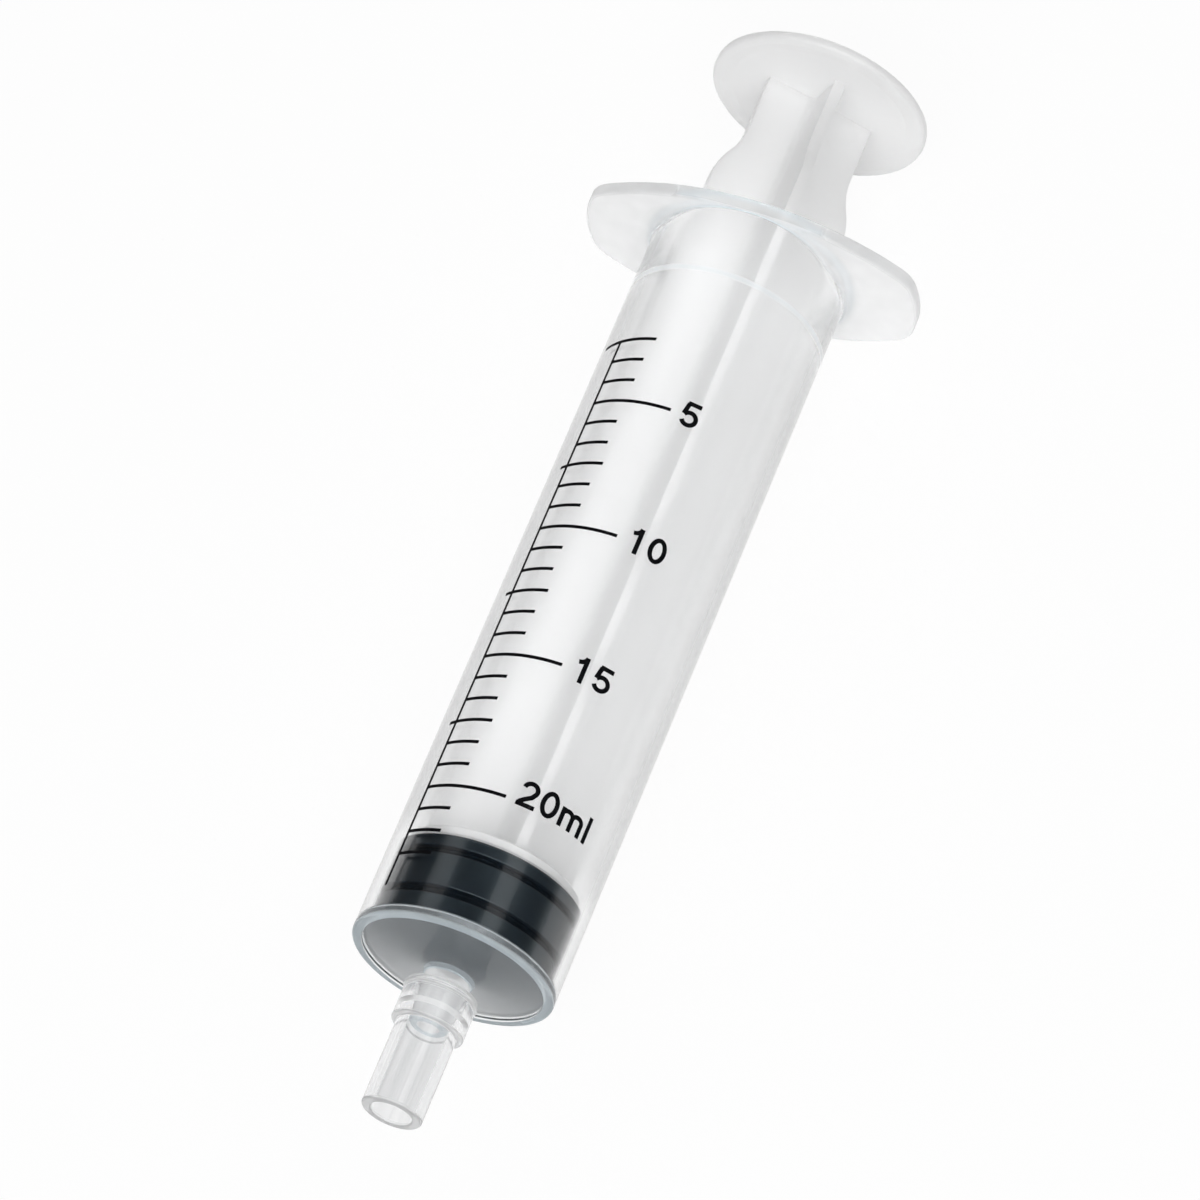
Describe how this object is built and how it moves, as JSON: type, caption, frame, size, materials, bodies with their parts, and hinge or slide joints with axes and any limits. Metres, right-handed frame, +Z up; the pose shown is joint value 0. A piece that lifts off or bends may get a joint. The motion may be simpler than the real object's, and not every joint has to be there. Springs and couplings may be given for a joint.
{
  "type": "luer lock syringe",
  "caption": "Clear syringe on its side: a barrel with an oval finger flange, a rubber stopper on a rod with crossed ribs and a thumb disc, and a push-on female tip adapter.",
  "frame": {"origin": "under the middle of the part, on the surface that it lies on; the bore's axis is 12.3 mm above it", "axes": "+X along the bore towards the outlet, +Y along the finger flange's long side, +Z up"},
  "size_m": [0.129, 0.0378, 0.0246],
  "materials": {
    "barrel_clear": "clear, faintly frosted moulded polypropylene",
    "stopper_rubber": "near-black moulded rubber with a satin sheen",
    "rod_milky": "milky translucent moulded polypropylene",
    "adapter_clear": "clear moulded plastic",
    "scale_ink": "black pad-printed ink"
  },
  "bodies": {
    "barrel_body": {"barrel": "barrel_clear"},
    "stopper_body": {"stopper": "stopper_rubber"},
    "rod_body": {"plunger_rod": "rod_milky"},
    "adapter_body": {"tip_adapter": "adapter_clear"}
  },
  "joints": [
    {"name": "plunger_slide", "type": "slide", "parent": "barrel_body", "child": "stopper_body", "axis": [-1, 0, 0], "range_m": [0, 0.0711]},
    {"name": "rod_turn", "type": "hinge", "parent": "stopper_body", "child": "rod_body", "pos_m": [0.0395, 0, 0.0123], "axis": [1, 0, 0], "continuous": true},
    {"name": "adapter_pull", "type": "slide", "parent": "barrel_body", "child": "adapter_body", "axis": [1, 0, 0], "range_m": [0, 0.008]}
  ]
}
